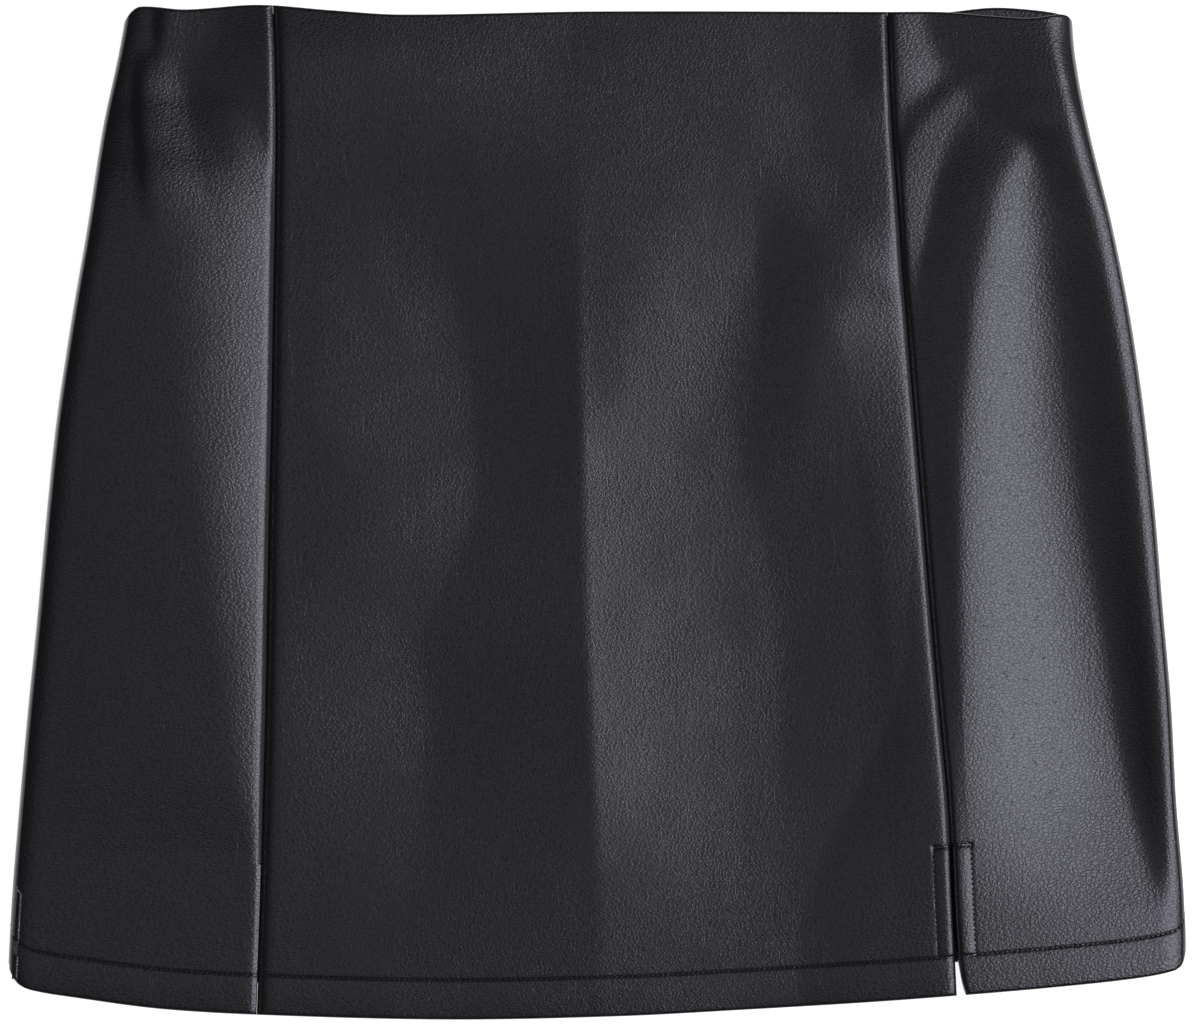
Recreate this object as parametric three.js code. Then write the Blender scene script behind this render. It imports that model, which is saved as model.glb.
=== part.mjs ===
// A leather mini skirt lying flat on its back.
// Lengths are millimetres: +X is the wearer's left, +Y the waist, +Z up, and the underside lies on z = 0.
// The skirt is one tube of cloth: a flat underside, a rolled fold at each side, and a creased front.
import * as THREE from "three";

// Cloth and its turned edges
const CLOTH = 1.0;
const TURNED = 2 * CLOTH;
const STEP = 0.4; // length over which a turned edge ends on the inside
const EDGE_ROUND = 0.35; // how far both faces close in at a free edge
const EDGE_REACH = 0.8; // length of that rounding
const HEM_DEPTH = 16.4;
const WAIST_DEPTH = 8;
const SEAM_GAP = 0.3;

// Slit at the foot of the wearer's left front seam
const SLIT_HEIGHT = 62.6;
const SLIT_TURN = 8.4;
const SLIT_SPREAD = 2.4;
const SLIT_CURVE = 1.5;

// How the skirt lies
const LIE = 9.2; // height of the front's outer face where no fold lifts it
const SIDE_DROP = 1.3; // how far the front sinks toward its two side folds
const SIDE_REACH = 9; // how far in from a side fold that starts
const GROOVE_DEPTH = 0.35;
const GROOVE_REACH = 1.5;
const LOOP_MIDDLE = 2.6; // height at which a side fold reaches furthest out
const LOOP_TOP = 4; // width of a side fold's upper quarter
const LOOP_FOOT = 3; // width of its lower quarter
const CENTRE_BACK = 0;
const TURN_TOP = 0; // angles round a side fold
const TURN_OUT = 90;
const TURN_FOOT = 180;
const LEFT_SIDE_SEAM_TURN = 138;

// Finite step for the surface's normals
const NUDGE = 0.25;

// Widths: a row for each height, with the outline at both side folds, the two front seams and the crease
const WIDTHS = [
  { y: 212, rightFold: -194.0, rightSeam: -133.9, crease: -8, leftSeam: 121.3, leftFold: 197.0 },
  { y: 190, rightFold: -197.9, rightSeam: -132.9, crease: -8, leftSeam: 121.9, leftFold: 198.6 },
  { y: 160, rightFold: -204.3, rightSeam: -132.4, crease: -7.5, leftSeam: 123.4, leftFold: 204.1 },
  { y: 120, rightFold: -210.6, rightSeam: -132.9, crease: -7, leftSeam: 126.2, leftFold: 213.8 },
  { y: 80, rightFold: -217.4, rightSeam: -133.6, crease: -6.5, leftSeam: 129.0, leftFold: 221.7 },
  { y: 40, rightFold: -223.4, rightSeam: -134.2, crease: -6, leftSeam: 132.1, leftFold: 227.5 },
  { y: 0, rightFold: -227.7, rightSeam: -135.1, crease: -5, leftSeam: 135.6, leftFold: 231.8 },
  { y: -40, rightFold: -231.3, rightSeam: -135.9, crease: -4, leftSeam: 139.0, leftFold: 235.1 },
  { y: -80, rightFold: -235.3, rightSeam: -136.6, crease: -2.5, leftSeam: 142.4, leftFold: 238.5 },
  { y: -120, rightFold: -238.9, rightSeam: -137.7, crease: -0.5, leftSeam: 145.6, leftFold: 240.6 },
  { y: -160, rightFold: -242.1, rightSeam: -138.9, crease: 1, leftSeam: 146.8, leftFold: 243.8 },
  { y: -212, rightFold: -244.8, rightSeam: -140.7, crease: 2.5, leftSeam: 149.3, leftFold: 245.0 },
];

// Free edges: the waist's and the hem's height across the front and across the back
const WAIST = [
  { x: -197, front: 201, back: 201 },
  { x: -193.5, front: 206.5, back: 205.5 },
  { x: -189, front: 209.5, back: 207 },
  { x: -170, front: 208.3, back: 206.5 },
  { x: -140, front: 210.2, back: 207 },
  { x: -110, front: 208, back: 206 },
  { x: -81, front: 206.2, back: 204.5 },
  { x: 0, front: 207.5, back: 205.5 },
  { x: 120, front: 207.3, back: 206 },
  { x: 144, front: 207.2, back: 207.3 },
  { x: 164, front: 205.6, back: 209.4 },
  { x: 180, front: 204.7, back: 208.6 },
  { x: 192, front: 206.2, back: 206.9 },
  { x: 196, front: 205.4, back: 205.4 },
  { x: 199, front: 202, back: 202 },
];
const HEM = [
  { x: -245, front: -185, back: -185 },
  { x: -243, front: -190, back: -188 },
  { x: -240, front: -194.8, back: -190 },
  { x: -234, front: -197.8, back: -192 },
  { x: -215, front: -201, back: -193 },
  { x: -180, front: -205.6, back: -194 },
  { x: -135, front: -208.2, back: -195 },
  { x: -60, front: -210, back: -195 },
  { x: 10, front: -208.6, back: -193 },
  { x: 60, front: -206, back: -191 },
  { x: 110, front: -203, back: -189 },
  { x: 150, front: -200, back: -186.5 },
  { x: 190, front: -196.6, back: -184.5 },
  { x: 222, front: -193.2, back: -183.5 },
  { x: 238, front: -190.3, back: -183 },
  { x: 243, front: -187.5, back: -182 },
  { x: 245, front: -181, back: -181 },
];

// Angle of the wearer's right side seam round its fold: on top at the hem, underneath at the waist
const RIGHT_SIDE_SEAM = [
  { y: 212, turn: 116 },
  { y: 0, turn: 100 },
  { y: -74, turn: 88 },
  { y: -200, turn: 40 },
];

// Folds of the front. A fold is a crest line through its stations, which give the crest's place, its rise
// and how far it reaches toward -X (right) and toward +X (left). A trough has a rise below zero.
// crest: 1 is a sharp fold and 2 a round one. foot: 1 ends at a kink and 2 dies out softly.
const FOLDS = [
  {
    name: "right hip", crest: { right: 2, left: 1.8 }, foot: { right: 1, left: 1 },
    stations: [
      { y: 172, x: -188, rise: 0, right: 90, left: 44 },
      { y: 152, x: -186.5, rise: 1.7, right: 90, left: 50 },
      { y: 137, x: -184, rise: 3, right: 90, left: 50 },
      { y: 113, x: -181, rise: 3.5, right: 90, left: 47.5 },
      { y: 80, x: -177, rise: 3.2, right: 90, left: 43 },
      { y: 38, x: -172.5, rise: 3, right: 90, left: 38 },
      { y: 5, x: -168, rise: 2.7, right: 90, left: 33 },
      { y: -45, x: -161, rise: 1.8, right: 90, left: 25 },
      { y: -78, x: -156, rise: 1.3, right: 90, left: 19.5 },
      { y: -111, x: -151, rise: 0.85, right: 90, left: 13.5 },
      { y: -140, x: -146, rise: 0, right: 90, left: 8 },
    ],
  },
  {
    name: "right waist ridge", crest: { right: 1.4, left: 1.6 }, foot: { right: 1.3, left: 1.5 },
    stations: [
      { y: 213, x: -182, rise: 0.4, right: 5, left: 12 },
      { y: 190, x: -187, rise: 0.9, right: 5, left: 16 },
      { y: 165, x: -187.5, rise: 1.1, right: 5, left: 17 },
      { y: 150, x: -184, rise: 0.5, right: 5, left: 18 },
      { y: 132, x: -178, rise: 0, right: 6, left: 18 },
    ],
  },
  {
    name: "right waist rise", crest: { right: 1.3, left: 1.6 }, foot: { right: 1.5, left: 1.2 },
    stations: [
      { y: 213, x: -134, rise: 1.4, right: 38, left: 125 },
      { y: 190, x: -134, rise: 2.2, right: 36, left: 125 },
      { y: 170, x: -134, rise: 1.5, right: 34, left: 125 },
      { y: 150, x: -133, rise: 0.3, right: 28, left: 125 },
      { y: 140, x: -133, rise: 0, right: 24, left: 125 },
    ],
  },
  {
    name: "right waist tuck", crest: { right: 1.6, left: 1.4 }, foot: { right: 1.6, left: 1.4 },
    stations: [
      { y: 178, x: -164, rise: 0, right: 10, left: 14 },
      { y: 166, x: -154, rise: 0.35, right: 12, left: 18 },
      { y: 152, x: -149, rise: 0.2, right: 10, left: 14 },
      { y: 140, x: -146, rise: 0, right: 10, left: 12 },
    ],
  },
  {
    name: "right hollow", crest: { right: 1.35, left: 1.4 }, foot: { right: 1.5, left: 1 },
    stations: [
      { y: 135, x: -64, rise: 0, right: 50, left: 57 },
      { y: 113, x: -62, rise: -0.5, right: 52, left: 55 },
      { y: 80, x: -56, rise: -1.35, right: 60, left: 49.5 },
      { y: 38, x: -51, rise: -1.65, right: 66, left: 45 },
      { y: 5, x: -49, rise: -1.3, right: 50, left: 44 },
      { y: -22, x: -58, rise: -1.1, right: 56, left: 53.5 },
      { y: -45, x: -70, rise: -1.3, right: 60, left: 66 },
      { y: -78, x: -71, rise: -1.9, right: 62, left: 68.5 },
      { y: -111, x: -70, rise: -1.3, right: 62, left: 69 },
      { y: -140, x: -68, rise: -0.5, right: 60, left: 68 },
      { y: -170, x: -66, rise: 0, right: 60, left: 67 },
    ],
  },
  {
    name: "centre crease", crest: { right: 1.2, left: 1.2 }, foot: { right: 1.2, left: 1.2 },
    stations: [
      { y: 213, x: -8, rise: 0.2, right: 90, left: 90 },
      { y: 150, x: -7.5, rise: 0.8, right: 90, left: 90 },
      { y: 113, x: -7, rise: 1, right: 80, left: 80 },
      { y: 80, x: -6.5, rise: 0.4, right: 70, left: 70 },
      { y: 38, x: -6, rise: 0.15, right: 60, left: 60 },
      { y: -45, x: -4, rise: 0.2, right: 60, left: 60 },
      { y: -111, x: -1, rise: 0.7, right: 70, left: 60 },
      { y: -150, x: 0.6, rise: 0.9, right: 80, left: 60 },
      { y: -180, x: 1.5, rise: 0.5, right: 80, left: 60 },
      { y: -213, x: 2.5, rise: 0.2, right: 80, left: 60 },
    ],
  },
  {
    name: "centre belly", crest: { right: 1.8, left: 1.8 }, foot: { right: 1.5, left: 1.6 },
    stations: [
      { y: 138, x: 26, rise: 0, right: 30, left: 40 },
      { y: 113, x: 24, rise: 0.3, right: 30, left: 42 },
      { y: 80, x: 18, rise: 0.5, right: 24, left: 40 },
      { y: 55, x: 15, rise: 0.4, right: 22, left: 38 },
      { y: 25, x: 10, rise: 0, right: 20, left: 36 },
    ],
  },
  {
    name: "left hollow", crest: { right: 1.75, left: 1.3 }, foot: { right: 1, left: 1.3 },
    stations: [
      { y: 140, x: 64, rise: 0, right: 71, left: 30 },
      { y: 113, x: 67, rise: -0.4, right: 74, left: 34 },
      { y: 80, x: 60, rise: -1.5, right: 66.5, left: 80 },
      { y: 38, x: 56, rise: -2.3, right: 62, left: 92 },
      { y: 5, x: 66, rise: -2.6, right: 71.5, left: 84 },
      { y: -45, x: 75, rise: -2.7, right: 79, left: 76 },
      { y: -78, x: 76, rise: -2.6, right: 78.5, left: 74 },
      { y: -111, x: 76, rise: -2.1, right: 77, left: 74 },
      { y: -150, x: 74, rise: -0.85, right: 73.5, left: 74 },
      { y: -180, x: 70, rise: -0.4, right: 68.5, left: 74 },
      { y: -213, x: 70, rise: -0.2, right: 67.5, left: 74 },
    ],
  },
  {
    name: "left belly", crest: { right: 1.5, left: 1.5 }, foot: { right: 1.3, left: 1.2 },
    stations: [
      { y: 150, x: 84, rise: 0, right: 20, left: 60 },
      { y: 128, x: 90, rise: 0.4, right: 24, left: 60 },
      { y: 105, x: 95, rise: 0.6, right: 28, left: 60 },
      { y: 80, x: 93, rise: 0.5, right: 26, left: 40 },
      { y: 55, x: 89, rise: 0.6, right: 26, left: 40 },
      { y: 30, x: 86, rise: 0.4, right: 26, left: 36 },
      { y: 5, x: 82, rise: 0, right: 24, left: 36 },
    ],
  },
  {
    name: "left seam trough", crest: { right: 1.5, left: 1.4 }, foot: { right: 1.3, left: 1 },
    stations: [
      { y: 120, x: 126.5, rise: 0, right: 20, left: 30 },
      { y: 100, x: 128, rise: -0.4, right: 24, left: 28 },
      { y: 80, x: 129.5, rise: -1.1, right: 30, left: 25 },
      { y: 60, x: 131, rise: -0.9, right: 28, left: 22 },
      { y: 38, x: 132.5, rise: -0.7, right: 26, left: 18 },
      { y: 5, x: 135.5, rise: -0.7, right: 22, left: 14 },
      { y: -45, x: 139.8, rise: -0.5, right: 20, left: 11 },
      { y: -78, x: 142.5, rise: -0.4, right: 18, left: 9 },
      { y: -111, x: 145, rise: -0.2, right: 16, left: 8 },
      { y: -140, x: 146.5, rise: 0, right: 16, left: 8 },
    ],
  },
  {
    name: "left seam roll", crest: { right: 1.6, left: 2.2 }, foot: { right: 1.5, left: 1 },
    stations: [
      { y: 213, x: 114, rise: 0.1, right: 24, left: 7.5 },
      { y: 180, x: 114.5, rise: 0.35, right: 26, left: 7.5 },
      { y: 130, x: 117.2, rise: 0.6, right: 28, left: 8.5 },
      { y: 100, x: 119.4, rise: 0.5, right: 26, left: 8.5 },
      { y: 80, x: 121.8, rise: 0.3, right: 22, left: 7.5 },
      { y: 60, x: 123.5, rise: 0.35, right: 20, left: 7.5 },
      { y: 30, x: 125.6, rise: 0.45, right: 20, left: 7.5 },
      { y: 0, x: 128.2, rise: 0.45, right: 20, left: 7.5 },
      { y: -45, x: 132.2, rise: 0.45, right: 20, left: 7.3 },
      { y: -85, x: 136.3, rise: 0.4, right: 20, left: 6.5 },
      { y: -115, x: 140.2, rise: 0.3, right: 20, left: 5 },
      { y: -145, x: 142.4, rise: 0.2, right: 20, left: 4 },
      { y: -213, x: 145.3, rise: 0.1, right: 20, left: 4 },
    ],
  },
  {
    name: "left hip", crest: { right: 1.7, left: 1.6 }, foot: { right: 1.2, left: 1.1 },
    stations: [
      { y: 176, x: 180, rise: 0, right: 28, left: 160 },
      { y: 160, x: 176, rise: 0.9, right: 28, left: 180 },
      { y: 135, x: 164, rise: 1.7, right: 24, left: 200 },
      { y: 113, x: 160.5, rise: 1.8, right: 24, left: 220 },
      { y: 80, x: 154, rise: 0.9, right: 23, left: 230 },
      { y: 38, x: 150, rise: 0.7, right: 20, left: 210 },
      { y: 5, x: 149.5, rise: 0.6, right: 18, left: 180 },
      { y: -45, x: 149, rise: 0.6, right: 20, left: 160 },
      { y: -78, x: 149, rise: 0.9, right: 24, left: 130 },
      { y: -111, x: 149, rise: 1.4, right: 40, left: 105 },
      { y: -150, x: 151, rise: 2, right: 60, left: 95 },
      { y: -180, x: 154, rise: 1.9, right: 70, left: 92 },
      { y: -213, x: 156, rise: 1.7, right: 70, left: 90 },
    ],
  },
  {
    name: "left edge trough", crest: { right: 2, left: 1.9 }, foot: { right: 2, left: 1.6 },
    stations: [
      { y: 160, x: 182, rise: 0, right: 9, left: 14 },
      { y: 150, x: 182.5, rise: -0.3, right: 9, left: 16 },
      { y: 135, x: 183, rise: -1, right: 18, left: 22 },
      { y: 113, x: 186, rise: -1.8, right: 26, left: 24 },
      { y: 80, x: 189, rise: -2.7, right: 35, left: 27 },
      { y: 38, x: 194, rise: -3.2, right: 44, left: 29 },
      { y: 5, x: 198, rise: -3.5, right: 49, left: 29 },
      { y: -45, x: 207, rise: -4, right: 58, left: 26 },
      { y: -78, x: 212, rise: -4.1, right: 62, left: 24 },
      { y: -111, x: 218, rise: -3.7, right: 68, left: 20 },
      { y: -135, x: 224, rise: -2.3, right: 72, left: 15 },
      { y: -165, x: 230, rise: 0, right: 74, left: 12 },
    ],
  },
  {
    name: "left foot drop", crest: { right: 1, left: 1 }, foot: { right: 1, left: 1 },
    stations: [
      { y: 38, x: 227.5, rise: 0, right: 78, left: 20 },
      { y: 5, x: 231.3, rise: -0.7, right: 82, left: 20 },
      { y: -45, x: 235.5, rise: -1.4, right: 87, left: 20 },
      { y: -78, x: 238.4, rise: -1.9, right: 90, left: 20 },
      { y: -111, x: 240.1, rise: -2.2, right: 92, left: 20 },
      { y: -150, x: 243, rise: -2.3, right: 94, left: 20 },
      { y: -180, x: 244, rise: -1.9, right: 92, left: 20 },
      { y: -213, x: 245, rise: -1.4, right: 90, left: 20 },
    ],
  },
  {
    name: "left waist roll", crest: { right: 1.5, left: 1.5 }, foot: { right: 1.5, left: 1.4 },
    stations: [
      { y: 213, x: 124, rise: 0.2, right: 20, left: 12 },
      { y: 200, x: 124, rise: 0.5, right: 20, left: 13 },
      { y: 182, x: 125, rise: 0.9, right: 20, left: 18 },
      { y: 170, x: 125.5, rise: 0.3, right: 20, left: 12 },
      { y: 160, x: 126, rise: 0, right: 20, left: 10 },
    ],
  },
  {
    name: "left waist tuck", crest: { right: 1.5, left: 1.6 }, foot: { right: 1.5, left: 1.5 },
    stations: [
      { y: 186, x: 160, rise: 0, right: 12, left: 8 },
      { y: 176, x: 150, rise: 0.35, right: 14, left: 13 },
      { y: 166, x: 139, rise: 0.55, right: 12, left: 19 },
      { y: 154, x: 130, rise: 0.5, right: 5, left: 22 },
      { y: 138, x: 127.8, rise: 0.45, right: 4, left: 17 },
      { y: 120, x: 128.5, rise: 0.25, right: 4, left: 12 },
      { y: 104, x: 129, rise: 0, right: 4, left: 10 },
    ],
  },
  {
    name: "left waist corner", crest: { right: 1.5, left: 1.5 }, foot: { right: 1.4, left: 1.2 },
    stations: [
      { y: 213, x: 187, rise: 2, right: 50, left: 16 },
      { y: 200, x: 187.5, rise: 2.3, right: 50, left: 14 },
      { y: 180, x: 192.5, rise: 3, right: 44, left: 12 },
      { y: 165, x: 196, rise: 2.6, right: 38, left: 12 },
      { y: 150, x: 199, rise: 1.4, right: 20, left: 12 },
      { y: 135, x: 202, rise: 0.8, right: 16, left: 12 },
      { y: 120, x: 206, rise: 0, right: 14, left: 12 },
    ],
  },
];

// How finely each piece is divided
const ROWS_BESIDE_SLIT = 3;
const ROWS_ABOVE_SLIT = 14;
const CENTRE_COLUMNS = 11;
const SIDE_COLUMNS = 12;
const BACK_COLUMNS = 4;
const FOLD_COLUMNS = 6;
const GROOVE_COLUMNS = [1.1, 2.8]; // distances from a seam

const LEATHER = { color: 0x17181a, roughness: 0.48, metalness: 0 };

// Smooth curve through a table's rows: the value of one column at a place along another.
function along(rows, axis, column, place) {
  const first = rows[0][axis];
  const last = rows[rows.length - 1][axis];
  const direction = Math.sign(last - first);
  const at = THREE.MathUtils.clamp(place, Math.min(first, last), Math.max(first, last));
  let k = 0;
  while (k < rows.length - 2 && direction * (at - rows[k + 1][axis]) > 0) k += 1;
  const slope = (n) => {
    const before = rows[Math.max(n - 1, 0)];
    const after = rows[Math.min(n + 1, rows.length - 1)];
    return (after[column] - before[column]) / (after[axis] - before[axis]);
  };
  const span = rows[k + 1][axis] - rows[k][axis];
  const t = (at - rows[k][axis]) / span;
  const ease = t * t * (3 - 2 * t);
  const leave = t * (1 - t) * (1 - t) * span * slope(k);
  const arrive = t * t * (t - 1) * span * slope(k + 1);
  return THREE.MathUtils.lerp(rows[k][column], rows[k + 1][column], ease) + leave + arrive;
}

const width = (line, y) => along(WIDTHS, "y", line, y);

// Height that one fold adds at a place on the front.
function foldHeight(fold, x, y) {
  const stations = fold.stations;
  const read = (column) => along(stations, "y", column, y);
  const beyond = y > stations[0].y || y < stations[stations.length - 1].y;
  const from = x - read("x");
  const side = from < 0 ? "right" : "left";
  const reach = Math.abs(from) / read(side);
  if (beyond || reach >= 1) return 0;
  return read("rise") * (1 - reach ** fold.crest[side]) ** fold.foot[side];
}

// Height of the front's outer face, with the grooves that its two seams draw in.
function frontHeight(x, y) {
  const folds = FOLDS.reduce((sum, fold) => sum + foldHeight(fold, x, y), 0);
  const groove = (line) => GROOVE_DEPTH * Math.exp(-(((x - width(line, y)) / GROOVE_REACH) ** 2));
  const inward = Math.min(x - width("rightFold", y), width("leftFold", y) - x);
  const drop = SIDE_DROP * Math.max(1 - inward / SIDE_REACH, 0) ** 2;
  return LIE + folds - drop - groove("rightSeam") - groove("leftSeam");
}

// Outer face round a side fold: `turn` runs from the front, 0 degrees, to the underside, 180 degrees.
function foldFace(line, inward, turn, y) {
  const angle = THREE.MathUtils.degToRad(turn);
  const roll = turn < TURN_OUT ? LOOP_TOP : LOOP_FOOT;
  const x = width(line, y) + inward * roll * (1 - Math.sin(angle));
  const top = turn < TURN_OUT ? frontHeight(x, y) - LOOP_MIDDLE : LOOP_MIDDLE;
  return new THREE.Vector3(x, y, LOOP_MIDDLE + top * Math.cos(angle));
}

// A station of the tube's girth is a function of y that gives the outer face's point there.
// The girth runs from the centre back under the right fold, over the front and round the left fold.
// `slide` moves the point along it.
const onFront = (from, to, share, shift = 0) => (y, slide = 0) => {
  const x = THREE.MathUtils.lerp(from(y), to(y), share) + shift + slide;
  return new THREE.Vector3(x, y, frontHeight(x, y));
};
const onFold = (line, inward, from, to, share) => (y, slide = 0) => {
  const turn = THREE.MathUtils.lerp(from(y), to(y), share);
  return foldFace(line, inward, turn - inward * THREE.MathUtils.radToDeg(slide / LOOP_MIDDLE), y);
};
const underneath = (from, to, share) => (y, slide = 0) =>
  new THREE.Vector3(THREE.MathUtils.lerp(from(y), to(y), share) - slide, y, 0);

// Lines of the tube
const rightSeam = (y) => width("rightSeam", y);
const crease = (y) => width("crease", y);
const leftSeam = (y) => width("leftSeam", y);
const rightTop = (y) => width("rightFold", y) + LOOP_TOP;
const leftTop = (y) => width("leftFold", y) - LOOP_TOP;
const rightFoot = (y) => width("rightFold", y) + LOOP_FOOT;
const leftFoot = (y) => width("leftFold", y) - LOOP_FOOT;
const seamTurn = THREE.MathUtils.radToDeg(SEAM_GAP / 2 / LOOP_MIDDLE);
const rightSideSeam = (y) => along(RIGHT_SIDE_SEAM, "y", "turn", y);
const level = (value) => () => value;

// Below the slit's top the wearer's left piece draws away from the centre piece.
const slitSpread = (y) => {
  const hem = along(HEM, "x", "front", leftSeam(-SLIT_HEIGHT));
  const share = THREE.MathUtils.clamp((hem + SLIT_HEIGHT - y) / SLIT_HEIGHT, 0, 1);
  return SLIT_SPREAD * share ** SLIT_CURVE;
};
const slitEdge = (y) => leftSeam(y) + slitSpread(y);

// Equal shares of a span, the last of them 1; `withStart` puts 0 in front.
const shares = (count) => Array.from({ length: count }, (_, k) => (k + 1) / count);
const withStart = (list) => [0, ...list];

// Stations beside a seam, where its groove needs them, and stations spread evenly between two lines.
const besideSeam = (line, toward, offsets) =>
  offsets.map((offset) => onFront(line, line, 0, toward * offset));
const spread = (from, to, count, startShift, endShift) =>
  shares(count).map((share) =>
    onFront(from, to, share, THREE.MathUtils.lerp(startShift, endShift, share)));

// Rows of a piece from the hem to the waist: a share of its length, and a distance beyond that.
const fromHem = (shift) => ({ share: 0, shift });
const fromWaist = (shift) => ({ share: 1, shift: -shift });
const ROWS = [
  ...[0, EDGE_REACH, HEM_DEPTH / 2, HEM_DEPTH, HEM_DEPTH + STEP].map(fromHem),
  ...shares(ROWS_BESIDE_SLIT).map((share) =>
    fromHem(THREE.MathUtils.lerp(HEM_DEPTH + STEP, SLIT_HEIGHT, share))),
  fromHem(SLIT_HEIGHT + STEP),
  ...shares(ROWS_ABOVE_SLIT).map((share) => ({
    share,
    shift: THREE.MathUtils.lerp(SLIT_HEIGHT + STEP, -WAIST_DEPTH - STEP, share),
  })),
  ...[WAIST_DEPTH, EDGE_REACH, 0].map(fromWaist),
];

// Where a station meets a free edge of the front or the back.
function edgeAt(table, face, station) {
  const middle = table[Math.floor(table.length / 2)][face];
  const guess = along(table, "x", face, station(middle).x);
  return along(table, "x", face, station(guess).x);
}

// Thickness of the cloth at a point: one layer, or two at a turned edge.
function wallAt(point, hem, waist, slitFace) {
  const turnedHem = point.y - hem < HEM_DEPTH + STEP / 2;
  const turnedWaist = waist - point.y < WAIST_DEPTH + STEP / 2;
  const fromSlit = slitFace ? slitFace.inward * (point.x - slitFace.edge(point.y)) : Infinity;
  const turnedSlit = fromSlit < SLIT_TURN && point.y - hem < SLIT_HEIGHT + STEP / 2;
  return turnedHem || turnedWaist || turnedSlit ? TURNED : CLOTH;
}

// A piece's shell: the outer face's points, and the inner face's one or two cloths further in.
// Its columns are groups of stations that end on the front's or on the back's free edges.
function shell(groups, slitFace) {
  const outer = [];
  const inner = [];
  const columns = groups.flatMap(({ face, stations }) => stations.map((station) => ({ face, station })));
  columns.forEach(({ face, station }) => {
    const hem = edgeAt(HEM, face, station);
    const waist = edgeAt(WAIST, face, station);
    ROWS.forEach((row) => {
      const y = THREE.MathUtils.lerp(hem, waist, row.share) + row.shift;
      const point = station(y);
      const across = station(y, NUDGE).sub(station(y, -NUDGE));
      const up = station(y + NUDGE).sub(station(y - NUDGE));
      const normal = across.cross(up).normalize();
      const closing = Math.min(y - hem, waist - y) < EDGE_REACH / 2 ? EDGE_ROUND : 0;
      const wall = wallAt(point, hem, waist, slitFace);
      outer.push(point.clone().addScaledVector(normal, -closing));
      inner.push(point.clone().addScaledVector(normal, closing - wall));
    });
  });
  return closedShell(outer, inner, columns.length, ROWS.length);
}

// Joins two grids of points into one closed body.
function closedShell(outer, inner, columnCount, rowCount) {
  const points = [...outer, ...inner];
  const out = (column, row) => column * rowCount + row;
  const within = (column, row) => outer.length + out(column, row);
  const faces = [];
  const quad = (a, b, c, d) => faces.push(a, b, c, a, c, d);
  for (let column = 0; column < columnCount - 1; column += 1) {
    for (let row = 0; row < rowCount - 1; row += 1) {
      quad(out(column, row), out(column + 1, row), out(column + 1, row + 1), out(column, row + 1));
      quad(within(column, row), within(column, row + 1), within(column + 1, row + 1), within(column + 1, row));
    }
    const top = rowCount - 1;
    quad(out(column, 0), within(column, 0), within(column + 1, 0), out(column + 1, 0));
    quad(out(column, top), out(column + 1, top), within(column + 1, top), within(column, top));
  }
  for (let row = 0; row < rowCount - 1; row += 1) {
    const end = columnCount - 1;
    quad(out(0, row), out(0, row + 1), within(0, row + 1), within(0, row));
    quad(out(end, row), within(end, row), within(end, row + 1), out(end, row + 1));
  }
  const geometry = new THREE.BufferGeometry();
  geometry.setAttribute("position", new THREE.Float32BufferAttribute(points.flatMap((p) => p.toArray()), 3));
  geometry.setIndex(faces);
  geometry.computeVertexNormals();
  return geometry;
}

const half = SEAM_GAP / 2;
const [nearSeam, offSeam] = GROOVE_COLUMNS;

function frontCentrePanel() {
  const stations = [
    ...besideSeam(rightSeam, 1, [half, nearSeam, offSeam]),
    ...spread(rightSeam, crease, CENTRE_COLUMNS, offSeam, 0),
    ...spread(crease, leftSeam, CENTRE_COLUMNS, 0, -SLIT_TURN - STEP),
    ...besideSeam(leftSeam, -1, [SLIT_TURN - STEP, offSeam, nearSeam, half]),
  ];
  return shell([{ face: "front", stations }], { edge: leftSeam, inward: -1 });
}

function frontSideRightPanel() {
  const seam = (y) => rightSideSeam(y) - seamTurn;
  const stations = [
    ...withStart(shares(BACK_COLUMNS)).map((share) => onFold("rightFold", 1, seam, level(TURN_TOP), share)),
    ...spread(rightTop, rightSeam, SIDE_COLUMNS, 0, -offSeam),
    ...besideSeam(rightSeam, -1, [nearSeam, half]),
  ];
  return shell([{ face: "front", stations }]);
}

function frontSideLeftPanel() {
  const onTop = [
    ...besideSeam(slitEdge, 1, [half, nearSeam, offSeam, SLIT_TURN - STEP, SLIT_TURN]),
    ...spread(slitEdge, leftTop, SIDE_COLUMNS, SLIT_TURN + STEP, 0),
    ...shares(BACK_COLUMNS).map((share) =>
      onFold("leftFold", -1, level(TURN_TOP), level(TURN_OUT), share)),
  ];
  const below = shares(BACK_COLUMNS - 1).map((share) =>
    onFold("leftFold", -1, level(TURN_OUT), level(LEFT_SIDE_SEAM_TURN), share));
  return shell([{ face: "front", stations: onTop }, { face: "back", stations: below }], {
    edge: slitEdge,
    inward: 1,
  });
}

function backRightPanel() {
  const seam = (y) => rightSideSeam(y) + seamTurn;
  const stations = [
    ...withStart(shares(BACK_COLUMNS)).map((share) => underneath(level(CENTRE_BACK - half), rightFoot, share)),
    ...shares(FOLD_COLUMNS).map((share) => onFold("rightFold", 1, level(TURN_FOOT), seam, share)),
  ];
  return shell([{ face: "back", stations }]);
}

function backLeftPanel() {
  const seam = level(LEFT_SIDE_SEAM_TURN + 2 * seamTurn);
  const stations = [
    ...[0, 1 / 2].map((share) => onFold("leftFold", -1, seam, level(TURN_FOOT), share)),
    ...withStart(shares(BACK_COLUMNS)).map((share) => underneath(leftFoot, level(CENTRE_BACK + half), share)),
  ];
  return shell([{ face: "back", stations }]);
}

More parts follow.
